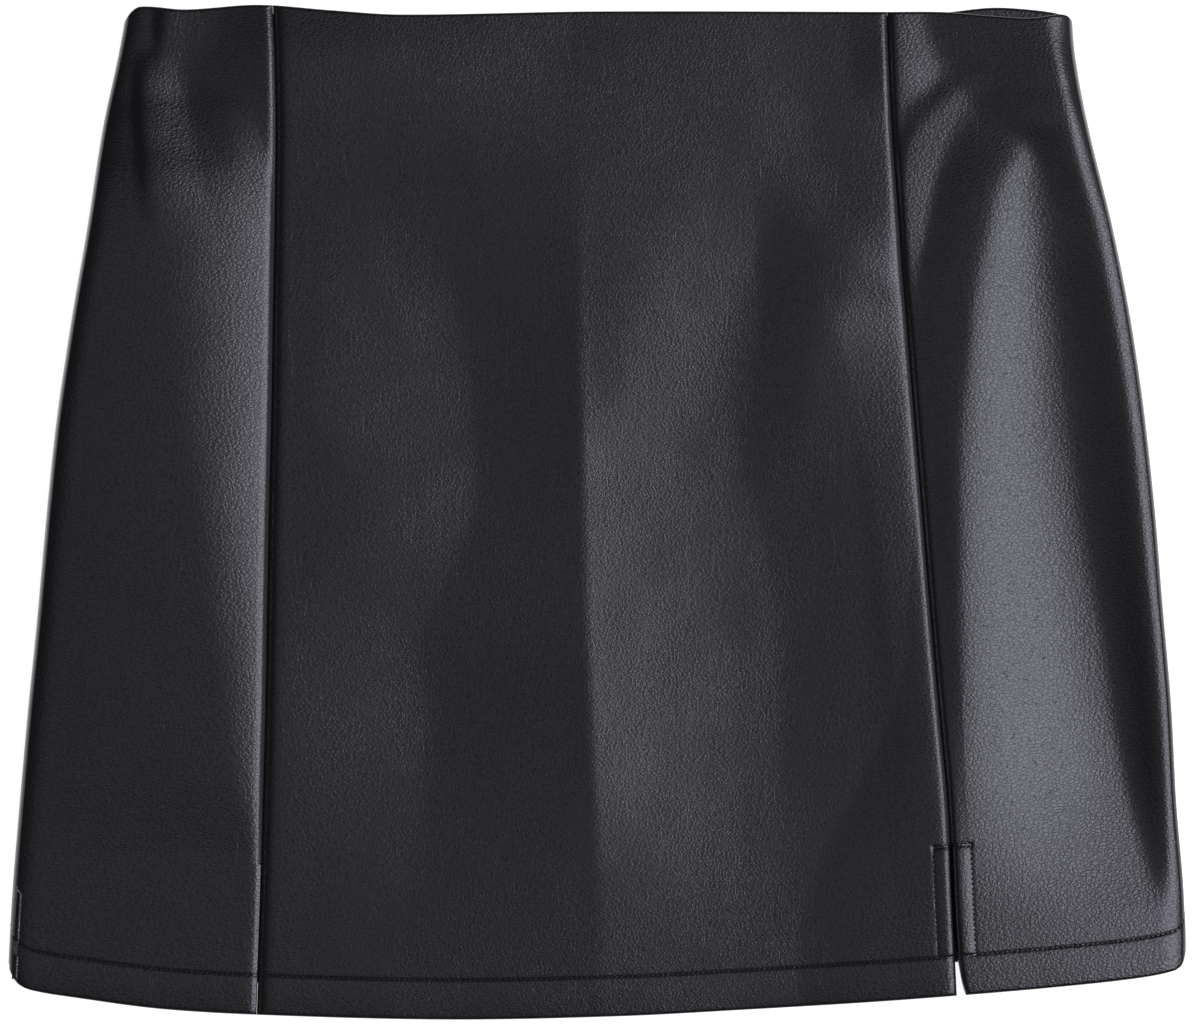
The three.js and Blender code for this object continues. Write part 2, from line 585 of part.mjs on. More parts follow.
const PIECES = {
  front_centre_panel: frontCentrePanel,
  front_side_right_panel: frontSideRightPanel,
  front_side_left_panel: frontSideLeftPanel,
  back_right_panel: backRightPanel,
  back_left_panel: backLeftPanel,
};

const skirt = new THREE.Group();
Object.entries(PIECES).forEach(([name, make]) => {
  const mesh = new THREE.Mesh(make(), new THREE.MeshStandardMaterial(LEATHER));
  mesh.name = name;
  skirt.add(mesh);
});

export default skirt;
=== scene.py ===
import math
from functools import lru_cache

import bpy
import numpy as np
from bpy.props import FloatProperty, IntProperty, PointerProperty
from bpy.types import Operator, Panel, PropertyGroup
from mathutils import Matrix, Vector


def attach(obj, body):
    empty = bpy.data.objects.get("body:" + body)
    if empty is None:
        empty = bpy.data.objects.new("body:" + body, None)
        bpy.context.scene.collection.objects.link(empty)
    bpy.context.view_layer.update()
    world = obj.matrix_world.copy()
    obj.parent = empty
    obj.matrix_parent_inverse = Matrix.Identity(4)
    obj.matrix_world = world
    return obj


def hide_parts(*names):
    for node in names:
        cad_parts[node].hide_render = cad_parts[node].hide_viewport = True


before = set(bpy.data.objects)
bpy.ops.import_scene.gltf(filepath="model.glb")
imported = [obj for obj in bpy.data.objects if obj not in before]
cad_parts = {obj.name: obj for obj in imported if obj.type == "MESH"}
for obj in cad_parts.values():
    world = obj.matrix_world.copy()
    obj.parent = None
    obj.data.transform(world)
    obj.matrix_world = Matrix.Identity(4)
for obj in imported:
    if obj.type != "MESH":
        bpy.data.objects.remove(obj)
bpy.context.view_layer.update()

bl_info = {
    "name": "Leather mini skirt",
    "version": (1, 0, 0),
    "blender": (4, 5, 0),
    "location": "View3D > Sidebar > Skirt",
    "description": "Lays out a leather mini skirt, piece by piece, on a studio floor",
    "category": "Add Mesh",
}

MM = 0.001  # the tables below are in millimetres; a mesh is in metres


def table(columns, *rows):
    """A short table with named columns, its rows sorted by the first column."""
    values = np.array(sorted(rows), dtype=float)
    return {name: values[:, k] for k, name in enumerate(columns.split())}


# How the skirt lies. Right and left are the wearer's, so right is -X.
LIE = 9.2  # height of the front's outer face where no fold lifts it
SIDE_DROP = 1.3  # how far the front sinks toward its two side folds
SIDE_REACH = 9.0  # how far in from a side fold that starts
LOOP_MIDDLE = 2.6  # height at which a side fold reaches furthest out
LOOP_TOP = 2.2  # width of a side fold's upper quarter
LOOP_FOOT = 3.0  # width of its lower quarter
GROOVE_DEPTH = 0.35  # how deep a front seam draws in
GROOVE_REACH = 1.5  # how far to each side
SLIT_CURVE = 6.5  # the slit opens late: near straight above, spread at the hem
SLIT_CURL = 1.5  # how far the side panel's slit edge curls down
SLIT_CURL_REACH = 3.2  # how far in from the edge that starts
SEAM_ROUNDING = 0.3  # radius of the cloth's edge at a seam
HEM_PAD = 0.2  # how far the band below the hem's stitches stands proud
HEM_GROOVE = 0.16  # how deep those stitches draw in
STITCH_REACH = 0.6  # how far to each side
RIPPLES, RIPPLE_HEIGHT, LONGEST_RIPPLE = 26, 0.006, 60  # soft waves left by handling
EDGE_FADE = 1.5  # relief dies out this near the hem and the waist
TURNED_END = 0.5  # a turned layer ends over this length
SLIT_TURNED = 1.4  # the slit's turning reaches this far past its stitches
GIRTH_STEP = 1.0  # mesh size round a side fold
LOOP_LENGTH = 12.0  # girth of a side fold, as far as mesh density goes
STITCH_SPACE = 0.8  # part of a stitch's length that is under the cloth
BAR_SPACE = 0.25  # the same for the bars' shorter stitches
THREAD_SUNK = 0.05  # how deep the middle of a thread lies
WELD = 0.002  # points nearer than this are one
# Turns round a side fold, in degrees from its top
TURN_TOP, TURN_OUT, TURN_FOOT = 0.0, 90.0, 180.0
LEFT_SIDE_SEAM_TURN = 138.0

WIDTHS = table(
    "y right_fold right_seam crease left_seam left_fold",
    (212, -194.0, -133.9, -8, 120.5, 197.0),
    (190, -197.9, -132.9, -8, 121.1, 198.6),
    (160, -204.3, -132.4, -7.5, 122.6, 204.1),
    (120, -210.6, -132.9, -7, 125.5, 213.8),
    (80, -217.4, -133.6, -6.5, 128.6, 221.7),
    (40, -223.4, -134.2, -6, 131.8, 227.5),
    (0, -227.7, -135.1, -5, 135.1, 231.8),
    (-40, -231.3, -135.9, -4, 138.4, 235.1),
    (-80, -235.3, -136.6, -2.5, 141.9, 238.5),
    (-120, -238.9, -137.7, -0.5, 145.6, 240.6),
    (-160, -242.1, -138.9, 1, 147.4, 243.8),
    (-212, -244.8, -140.7, 2.5, 150.0, 245.0),
)
WAIST = table(
    "x front back",
    (-197, 201, 201),
    (-193.5, 206.5, 205.5),
    (-189, 209.5, 207),
    (-170, 208.3, 206.5),
    (-140, 210.2, 207),
    (-110, 208, 206),
    (-81, 206.2, 204.5),
    (0, 207.5, 205.5),
    (120, 207.3, 206),
    (144, 207.2, 207.3),
    (164, 205.6, 209.4),
    (180, 204.7, 208.6),
    (192, 206.2, 206.9),
    (196, 205.4, 205.4),
    (199, 202, 202),
)
HEM = table(
    "x front back",
    (-245, -185, -185),
    (-243, -190, -188),
    (-240, -194.8, -190),
    (-234, -197.8, -192),
    (-215, -201, -193),
    (-180, -205.6, -194),
    (-135, -208.2, -195),
    (-60, -210, -195),
    (10, -208.6, -193),
    (60, -206, -191),
    (110, -203, -189),
    (150, -200, -186.5),
    (190, -196.6, -184.5),
    (222, -193.2, -183.5),
    (238, -190.3, -183),
    (243, -187.5, -182),
    (245, -181, -181),
)
RIGHT_SIDE_SEAM = table("y turn", (212, 116), (0, 100), (-74, 88), (-200, 40))


def fold(crest, foot, *stations):
    """A fold of the front: how sharp its crest and foot are on the right and the left, and its stations."""
    return {"crest": crest, "foot": foot, **table("y x rise right left", *stations)}


# A crest of 1 is sharp and of 2 round; a foot of 1 ends at a kink and of 2 dies out softly.
FOLDS = {
    "right hip": fold(
        (2, 1.8), (1, 1),
        (172, -188, 0, 90, 44), (152, -186.5, 1.7, 90, 50), (137, -184, 3, 90, 50),
        (113, -181, 3.5, 90, 47.5), (80, -177, 3.2, 90, 43), (38, -172.5, 3, 90, 38),
        (5, -168, 2.7, 90, 33), (-45, -161, 1.8, 90, 25), (-78, -156, 1.3, 90, 19.5),
        (-111, -151, 0.85, 90, 13.5), (-140, -146, 0, 90, 8),
    ),
    "right waist ridge": fold(
        (1.4, 1.6), (1.3, 1.5),
        (192, -186, 0, 5, 14), (182, -187, 0.9, 5, 17), (165, -187.5, 1.3, 5, 20), (150, -186, 1.1, 5, 22),
        (132, -184, 0.6, 6, 24), (112, -180, 0, 8, 24),
    ),
    "right waist pleat": fold(
        (1.4, 1.6), (1.3, 1.5),
        (213, -178, 0.9, 6, 24), (200, -178, 1, 6, 24), (192, -179, 0.5, 5, 22), (185, -180, 0, 5, 18),
    ),
    "right waist rise": fold(
        (1.3, 1.6), (1.5, 1.2),
        (213, -134, 1.4, 38, 125), (190, -134, 2.2, 36, 125), (170, -134, 1.5, 34, 125),
        (150, -133, 0.3, 28, 125), (140, -133, 0, 24, 125),
    ),
    "right waist tuck": fold(
        (1.6, 1.4), (1.6, 1.4),
        (178, -164, 0, 10, 14), (166, -154, 0.35, 12, 18), (152, -149, 0.2, 10, 14), (140, -146, 0, 10, 12),
    ),
    "right hollow": fold(
        (1.35, 1.4), (1.5, 1),
        (135, -64, 0, 50, 57), (113, -62, -0.5, 52, 55), (80, -56, -1.35, 60, 49.5),
        (38, -51, -1.65, 66, 45), (5, -49, -1.3, 50, 44), (-22, -58, -1.1, 56, 53.5),
        (-45, -70, -1.3, 60, 66), (-78, -71, -1.9, 62, 68.5), (-111, -70, -1.3, 62, 69),
        (-140, -68, -0.5, 60, 68), (-170, -66, 0, 60, 67),
    ),
    "centre crease": fold(
        (1.2, 1.2), (1.2, 1.2),
        (213, -8, 0.2, 90, 90), (150, -7.5, 0.8, 90, 90), (113, -7, 1, 80, 80), (80, -6.5, 0.4, 70, 70),
        (38, -6, 0.15, 60, 60), (-45, -4, 0.2, 60, 60), (-111, -1, 0.7, 70, 60), (-150, 0.6, 0.9, 80, 60),
        (-180, 1.5, 0.5, 80, 60), (-213, 2.5, 0.2, 80, 60),
    ),
    "centre belly": fold(
        (1.8, 1.8), (1.5, 1.6),
        (138, 26, 0, 30, 40), (113, 24, 0.3, 30, 42), (80, 18, 0.5, 24, 40), (55, 15, 0.4, 22, 38),
        (25, 10, 0, 20, 36),
    ),
    "left hollow": fold(
        (1.75, 1.3), (1, 1.3),
        (140, 64, 0, 71, 30), (113, 67, -0.4, 74, 34), (80, 60, -1.5, 66.5, 80), (38, 56, -2.3, 62, 92),
        (5, 66, -2.6, 71.5, 84), (-45, 75, -2.7, 79, 76), (-78, 76, -2.6, 78.5, 74),
        (-111, 76, -2.1, 77, 74), (-150, 74, -0.85, 73.5, 74), (-180, 70, -0.4, 68.5, 74),
        (-213, 70, -0.2, 67.5, 74),
    ),
    "left belly": fold(
        (1.5, 1.5), (1.3, 1.2),
        (150, 84, 0, 20, 60), (128, 90, 0.4, 24, 50), (105, 95, 1, 28, 38), (80, 93, 0.9, 26, 36),
        (55, 89, 0.6, 26, 40), (30, 86, 0.4, 26, 36), (5, 82, 0, 24, 36),
    ),
    "left seam trough": fold(
        (1.5, 1.4), (1.3, 1),
        (120, 126.5, 0, 20, 30), (100, 128, -0.4, 24, 28), (80, 129.5, -1.1, 30, 25),
        (60, 131, -0.9, 28, 22), (38, 132.5, -0.7, 26, 18), (5, 135.5, -0.7, 22, 14),
        (-45, 139.8, -0.5, 20, 11), (-78, 142.5, -0.4, 18, 9), (-111, 145, -0.2, 16, 8),
        (-140, 146.5, 0, 16, 8),
    ),
    "left seam roll": fold(
        (1.6, 2.2), (1.5, 1),
        (213, 118, 0.1, 28, 3.6), (180, 118.2, 0.25, 30, 3.9), (130, 120, 0.45, 31, 5.7),
        (100, 120, 0.5, 27, 7.9), (80, 121.8, 0.3, 22, 7.5), (60, 123.5, 0.35, 20, 7.5),
        (30, 125.6, 0.45, 20, 7.5), (0, 128.2, 0.45, 20, 7.5), (-45, 132.2, 0.45, 20, 7.3),
        (-85, 136.3, 0.4, 20, 6.5), (-115, 140.2, 0.3, 20, 5), (-145, 142.4, 0.2, 20, 4),
        (-213, 145.3, 0.1, 20, 4),
    ),
    "left hip": fold(
        (1.7, 1.6), (1.2, 1.1),
        (176, 180, 0, 28, 160), (160, 176, 0.9, 28, 180), (135, 164, 1.7, 24, 200),
        (113, 160.5, 1.8, 24, 220), (80, 154, 0.9, 23, 230), (38, 150, 0.7, 20, 210),
        (5, 149.5, 0.6, 18, 180), (-45, 149, 0.6, 20, 160), (-78, 149, 0.9, 24, 130),
        (-111, 149, 1.4, 40, 105), (-150, 151, 2, 60, 95), (-180, 154, 1.9, 70, 92),
        (-213, 156, 1.7, 70, 90),
    ),
    "left edge trough": fold(
        (2, 1.9), (2, 1.6),
        (160, 182, 0, 9, 14), (150, 182.5, -0.3, 9, 16), (135, 183, -1, 18, 22), (113, 186, -1.8, 26, 24),
        (80, 189, -2.7, 35, 27), (38, 194, -3.2, 44, 29), (5, 198, -3.5, 49, 29), (-45, 207, -4, 58, 26),
        (-78, 212, -4.1, 62, 24), (-111, 218, -3.7, 68, 20), (-135, 224, -2.3, 72, 15),
        (-165, 230, 0, 74, 12),
    ),
    "left foot drop": fold(
        (1, 1), (1, 1),
        (38, 227.5, 0, 78, 20), (5, 231.3, -0.7, 82, 20), (-45, 235.5, -1.4, 87, 20),
        (-78, 238.4, -1.9, 90, 20), (-111, 240.1, -2.2, 92, 20), (-150, 243, -2.3, 94, 20),
        (-180, 244, -1.9, 92, 20), (-213, 245, -1.4, 90, 20),
    ),
    "left waist roll": fold(
        (1.5, 1.5), (1.5, 1.4),
        (213, 124, 0.2, 20, 12), (200, 124, 0.5, 20, 13), (182, 125, 0.9, 20, 18),
        (170, 125.5, 0.3, 20, 12), (160, 126, 0, 20, 10),
    ),
    "left waist tuck": fold(
        (1.5, 1.6), (1.5, 1.5),
        (186, 160, 0, 12, 8), (176, 150, 0.35, 14, 13), (166, 139, 0.55, 12, 19), (154, 130, 0.5, 5, 22),
        (138, 127.8, 0.45, 4, 17), (120, 128.5, 0.25, 4, 12), (104, 129, 0, 4, 10),
    ),
    "left waist corner": fold(
        (1.5, 1.5), (1.4, 1.2),
        (213, 187, 2, 50, 16), (200, 187.5, 2.3, 50, 14), (180, 192.5, 3, 44, 12), (165, 196, 2.6, 38, 12),
        (150, 199, 1.4, 20, 12), (135, 202, 0.8, 16, 12), (120, 206, 0, 14, 12),
    ),
}


class SkirtCloth(PropertyGroup):
    """Sizes of the cloth and of its turned edges."""

    layer: FloatProperty(name="Cloth", description="Thickness of one layer", default=0.001, unit="LENGTH")
    seam_gap: FloatProperty(
        name="Seam gap", description="Space between pieces at a seam", default=0.00004, unit="LENGTH"
    )
    hem_turning: FloatProperty(
        name="Hem turning", description="Depth of the turned hem", default=0.0184, unit="LENGTH"
    )
    waist_turning: FloatProperty(
        name="Waist turning", description="Depth of the turned waist edge", default=0.008, unit="LENGTH"
    )
    slit_height: FloatProperty(
        name="Slit height", description="Length of the slit above the hem", default=0.0626, unit="LENGTH"
    )
    slit_spread: FloatProperty(
        name="Slit spread", description="How far the slit opens at the hem", default=0.0038, unit="LENGTH"
    )
    front_cell: FloatProperty(
        name="Front cell", description="Mesh size on the front", default=0.0022, unit="LENGTH"
    )
    back_cell: FloatProperty(
        name="Back cell", description="Mesh size on the back", default=0.005, unit="LENGTH"
    )


class SkirtLeather(PropertyGroup):
    """Finish of the coated cloth."""

    roughness: FloatProperty(
        name="Roughness", description="Roughness of the satin coating",
        default=0.21, min=0, max=1, subtype="FACTOR",
    )
    crack_roughness: FloatProperty(
        name="Crack roughness", description="Roughness of the cracks between pebbles",
        default=0.45, min=0, max=1, subtype="FACTOR",
    )
    grain: FloatProperty(
        name="Grain", description="Width of one pebble of the grain", default=0.0013, unit="LENGTH"
    )
    depth: FloatProperty(
        name="Grain depth", description="Depth of the cracks between pebbles",
        default=0.000027, unit="LENGTH",
    )


class SkirtThread(PropertyGroup):
    """Sizes of the sewing that shows."""

    stitch: FloatProperty(
        name="Stitch", description="Length from one needle hole to the next", default=0.0021, unit="LENGTH"
    )
    thickness: FloatProperty(
        name="Thread", description="Thickness of the thread", default=0.0007, unit="LENGTH"
    )
    hem_row: FloatProperty(
        name="Hem row", description="Height of the hem's stitches above its edge",
        default=0.0164, unit="LENGTH",
    )
    centre_row: FloatProperty(
        name="Centre row", description="Slit's stitches from the centre panel's edge",
        default=0.0069, unit="LENGTH",
    )
    side_row: FloatProperty(
        name="Side row", description="Slit's stitches from the side panel's edge",
        default=0.0086, unit="LENGTH",
    )
    bar_stitches: IntProperty(
        name="Bar stitches", description="Stitches in one row of the bars at the slit's top", default=5
    )


class SkirtStage(PropertyGroup):
    """The studio: floor, lights and camera."""

    floor: FloatProperty(name="Floor", description="Size of the floor", default=6.0, unit="LENGTH")
    floor_glow: FloatProperty(
        name="Floor glow", description="Light from below the white table", default=0.9, min=0
    )
    key_power: FloatProperty(
        name="Key power", description="Power of the large soft light", default=240.0, unit="POWER"
    )
    fill_power: FloatProperty(
        name="Fill power", description="Power of the weak light opposite", default=28.0, unit="POWER"
    )
    top_power: FloatProperty(
        name="Top power", description="Power of the weak light overhead", default=5.4, unit="POWER"
    )
    side_power: FloatProperty(
        name="Side power", description="Power of the low light beside the wearer's left",
        default=30.0, unit="POWER",
    )
    camera_height: FloatProperty(
        name="Camera height", description="Height of the camera above the floor", default=4.0, unit="LENGTH"
    )


# Shape of the lying skirt


def curve(rows, column, place, axis="y"):
    """Smooth curve through a table's rows: the value of one column at places along another."""
    at, value = rows[axis], rows[column]
    place = np.clip(place, at[0], at[-1])
    k = np.clip(np.searchsorted(at, place, side="right") - 1, 0, len(at) - 2)
    before = np.maximum(np.arange(len(at)) - 1, 0)
    after = np.minimum(np.arange(len(at)) + 1, len(at) - 1)
    slope = (value[after] - value[before]) / (at[after] - at[before])
    span = at[k + 1] - at[k]
    t = (place - at[k]) / span
    ease = t * t * (3 - 2 * t)
    leave = t * (1 - t) ** 2 * span * slope[k]
    arrive = t * t * (t - 1) * span * slope[k + 1]
    return value[k] + (value[k + 1] - value[k]) * ease + leave + arrive


def width(line):
    """A line of the front, as a function of height."""
    return lambda y: curve(WIDTHS, line, y)


def fold_height(shape, x, y):
    """Height that one fold adds at places on the front."""
    away = x - curve(shape, "x", y)
    right = away < 0
    reach = np.abs(away) / np.where(right, curve(shape, "right", y), curve(shape, "left", y))
    crest = np.where(right, *shape["crest"])
    foot = np.where(right, *shape["foot"])
    beyond = (y > shape["y"][-1]) | (y < shape["y"][0]) | (reach >= 1)
    side = (1 - np.minimum(reach, 1) ** crest) ** foot
    return np.where(beyond, 0, curve(shape, "rise", y) * side)


def front_height(x, y):
    """Height of the front's outer face, with the grooves that its two seams draw in."""
    folds = sum(fold_height(shape, x, y) for shape in FOLDS.values())
    seams = ("right_seam", "left_seam")
    grooves = sum(np.exp(-(((x - curve(WIDTHS, line, y)) / GROOVE_REACH) ** 2)) for line in seams)
    inward = np.minimum(x - curve(WIDTHS, "right_fold", y), curve(WIDTHS, "left_fold", y) - x)
    drop = SIDE_DROP * np.clip(1 - inward / SIDE_REACH, 0, 1) ** 2
    return LIE + folds - drop - GROOVE_DEPTH * grooves


def mix(start, end, share):
    return start + (end - start) * share


# A run is a stretch of the tube's girth: its stations' shares of the way and their shifts beyond that.
# It gives the outer face's points at heights y, moved along the girth by slide.


def on_front(start, end, stations, parted=lambda x, y: x):
    def points(y, slide=0.0):
        x = parted(mix(start(y), end(y), stations[:, 0]) + stations[:, 1] + slide, y)
        return np.stack([x, y, front_height(x, y)], axis=-1)

    return points


def on_fold(line, inward, start, end, stations):
    def points(y, slide=0.0):
        shift = np.degrees((stations[:, 1] + slide) / LOOP_MIDDLE)
        turn = mix(start(y), end(y), stations[:, 0]) - inward * shift
        angle = np.radians(turn)
        roll = np.where(turn < TURN_OUT, LOOP_TOP, LOOP_FOOT)
        x = curve(WIDTHS, line, y) + inward * roll * (1 - np.sin(angle))
        top = np.where(turn < TURN_OUT, front_height(x, y) - LOOP_MIDDLE, LOOP_MIDDLE)
        return np.stack([x, y, LOOP_MIDDLE + top * np.cos(angle)], axis=-1)

    return points


def underneath(start, end, stations):
    def points(y, slide=0.0):
        x = mix(start(y), end(y), stations[:, 0]) - stations[:, 1] - slide
        return np.stack([x, y, np.zeros_like(x)], axis=-1)

    return points


def level(value):
    return lambda y: np.full_like(y, value)


def beside(line, offset):
    """A line moved across the front."""
    return lambda y: line(y) + offset


NOT_NEAR = 1000.0
EDGE_STEPS = np.array([0.0, 0.04, 0.14, 0.3, 0.5, 0.8, 1.2, 1.8, 2.6])
STITCH_STEPS = np.array([-1.8, -1.1, -0.7, -0.35, 0.0, 0.35, 0.7, 1.1, 1.8])


def spread(length, cell, marks=(), start=True, end=True):
    """Shares and shifts of stations over a span: close together at its ends and marks, even between."""
    steps = EDGE_STEPS[EDGE_STEPS < length / 4]
    fixed = [(0.0, step) for step in steps] if start else [(0.0, 0.0)]
    fixed += [(0.0, mark) for mark in marks]
    last = [(1.0, -step) for step in steps[::-1]] if end else [(1.0, 0.0)]
    left, right = fixed[-1][1], -last[0][1]
    count = max(2, round((length - left - right) / cell))
    even = [(k / count, mix(left, -right, k / count)) for k in range(1, count)]
    return np.array(fixed + even + last)


@lru_cache(maxsize=None)
def sizes():
    """The cloth's and thread's sizes, in the tables' millimetres."""
    cloth = bpy.context.scene.skirt_cloth
    thread = bpy.context.scene.skirt_thread
    groups = ((cloth, SkirtCloth), (thread, SkirtThread))
    return {
        name: getattr(group, name) if name == "bar_stitches" else getattr(group, name) / MM
        for group, kind in groups
        for name in kind.__annotations__
    }


def slit_opening(y):
    """How far the side panel draws away from the centre panel below the slit's top."""
    size = sizes()
    hem = curve(HEM, "front", curve(WIDTHS, "left_seam", y), axis="x")
    share = np.clip((hem + size["slit_height"] - y) / size["slit_height"], 0, 1)
    return size["slit_spread"] * share**SLIT_CURVE


def slit_rows():
    """How far the slit's stitches are from the edge, on the two panels that it parts."""
    return {"front_centre_panel": sizes()["centre_row"], "front_side_left_panel": sizes()["side_row"]}


def drawn_away(x, y):
    """Places on the side panel, with those between the slit and its stitches drawn away from it."""
    beside_seam = x - curve(WIDTHS, "left_seam", y)
    return x + slit_opening(y) * np.clip(1 - beside_seam / sizes()["side_row"], 0, 1)


def from_slit(name, x, y):
    """How far a place is from the slit's edge, measured in the cloth before the slit opens."""
    beside_seam = np.abs(x - curve(WIDTHS, "left_seam", y))
    if name == "front_centre_panel":
        return beside_seam
    opening = slit_opening(y)
    return np.minimum(beside_seam, (beside_seam - opening) / (1 - opening / sizes()["side_row"]))


def panel_runs(name):
    """A panel's runs of girth, in order, each with the free edges that it ends on."""
    size = sizes()
    half = size["seam_gap"] / 2
    turn = math.degrees(half / LOOP_MIDDLE)
    cell = size["front_cell"]
    coarse = size["back_cell"]
    right_seam, left_seam, crease = width("right_seam"), width("left_seam"), width("crease")
    right_fold, left_fold = width("right_fold"), width("left_fold")

    def side_seam(offset):
        return lambda y: curve(RIGHT_SIDE_SEAM, "turn", y) + offset

    if name == "front_centre_panel":
        first = spread(128, cell, end=False)
        second = spread(135, cell, marks=[3.6, *(size["centre_row"] + STITCH_STEPS)], end=False)
        second = np.column_stack([1 - second[::-1, 0], -second[::-1, 1]])[1:]
        return [
            ("front", on_front(beside(right_seam, half), crease, first), first),
            ("front", on_front(crease, beside(left_seam, -half), second), second),
        ]
    if name == "front_side_right_panel":
        over = spread(LOOP_LENGTH, GIRTH_STEP, end=False)
        flat = spread(90, cell, start=False)[1:]
        return [
            ("front", on_fold("right_fold", 1, side_seam(-turn), level(TURN_TOP), over), over),
            ("front", on_front(beside(right_fold, LOOP_TOP), beside(right_seam, -half), flat), flat),
        ]
    if name == "front_side_left_panel":
        seam = beside(left_seam, half)
        flat = spread(90, cell, marks=[3.4, 4.4, 5.6, *(size["side_row"] + STITCH_STEPS)], end=False)
        over = spread(LOOP_LENGTH, GIRTH_STEP, start=False, end=False)[1:]
        below = spread(5, 0.9, start=False)[1:]
        return [
            ("front", on_front(seam, beside(left_fold, -LOOP_TOP), flat, drawn_away), flat),
            ("front", on_fold("left_fold", -1, level(TURN_TOP), level(TURN_OUT), over), over),
            ("back", on_fold("left_fold", -1, level(TURN_OUT), level(LEFT_SIDE_SEAM_TURN), below), below),
        ]
    if name == "back_right_panel":
        flat = spread(235, coarse, end=False)
        over = spread(LOOP_LENGTH, GIRTH_STEP, start=False)[1:]
        return [
            ("back", underneath(level(-half), beside(right_fold, LOOP_FOOT), flat), flat),
            ("back", on_fold("right_fold", 1, level(TURN_FOOT), side_seam(turn), over), over),
        ]
    over = spread(4, 0.9, end=False)
    flat = spread(235, coarse, start=False)[1:]
    left_side_seam = level(LEFT_SIDE_SEAM_TURN + 2 * turn)
    return [
        ("back", on_fold("left_fold", -1, left_side_seam, level(TURN_FOOT), over), over),
        ("back", underneath(beside(left_fold, -LOOP_FOOT), level(half), flat), flat),
    ]


def edge_at(rows, face, points, count):
    """Heights at which a run's stations meet a free edge."""
    y = np.full(count, np.median(rows[face]))
    for _ in range(3):
        y = curve(rows, face, points(y)[:, 0], axis="x")
    return y


def smooth(low, high, value):
    t = np.clip((value - low) / (high - low), 0, 1)
    return t * t * (3 - 2 * t)


def panel_rows(cell):
    """Rows of a panel from hem to waist, as shares and shifts, with more at the hem's stitches."""
    size = sizes()
    low = [(0.0, step) for step in EDGE_STEPS]
    low += [(0.0, height) for height in np.linspace(4.6, size["hem_row"] - 3.2, 5)]
    low += [(0.0, size["hem_row"] + step) for step in STITCH_STEPS]
    low += [(0.0, size["hem_turning"] + 0.5)]
    top = size["slit_height"]
    low += [(0.0, mix(size["hem_turning"] + 0.5, top - 2.4, k / 18)) for k in range(1, 19)]
    low += [(0.0, top + step) for step in STITCH_STEPS]
    start, end = low[-1][1], -EDGE_STEPS[-1]
    count = round((410 - start) / cell)
    even = [(k / count, mix(start, end, k / count)) for k in range(1, count)]
    return np.array(low + even + [(1.0, -step) for step in EDGE_STEPS[::-1]])


@lru_cache(maxsize=None)
def panel(name):
    """A panel's outer face, the way out of it, and each point's distance from its edges and the slit."""
    size = sizes()
    cell = size["front_cell"] if name.startswith("front") else size["back_cell"]
    rows = panel_rows(cell)
    nudge = 0.25  # half the step over which the way out is measured
    parts = []
    for face, points, stations in panel_runs(name):
        hem = edge_at(HEM, face, points, len(stations))
        waist = edge_at(WAIST, face, points, len(stations))
        y = mix(hem[None, :], waist[None, :], rows[:, :1]) + rows[:, 1:]
        across = points(y, nudge) - points(y, -nudge)
        up = points(y + nudge) - points(y - nudge)
        out = np.cross(across, up)
        out /= np.linalg.norm(out, axis=-1, keepdims=True)
        parts.append((points(y), out, y - hem, waist - y))
    place, out, from_hem, from_waist = (np.concatenate(group, axis=1) for group in zip(*parts))
    steps = np.linalg.norm(np.diff(place, axis=1), axis=-1)
    along = np.concatenate([np.zeros((len(rows), 1)), np.cumsum(steps, axis=1)], axis=1)
    slit = np.full_like(from_hem, NOT_NEAR)
    if name in slit_rows():
        slit = from_slit(name, place[..., 0], place[..., 1])
    return {
        "place": place,
        "out": out,
        "hem": from_hem,
        "waist": from_waist,
        "start": along,
        "end": along[:, -1:] - along,
        "slit": slit,
    }


def in_slit(shape):
    """How far a point is within the slit's height: 1 beside the slit, 0 above its top."""
    top = sizes()["slit_height"]
    return 1 - smooth(top - 0.4, top + 0.4, shape["hem"])


def near(distance, reach):
    """A soft bump: 1 on a line, dying out at a few times the reach."""
    return np.exp(-((distance / reach) ** 2))


def band(distance, wide):
    """A padded band between two stitched lines, or an edge and a line."""
    return np.sin(np.pi * np.clip(distance / wide, 0, 1)) ** 0.7


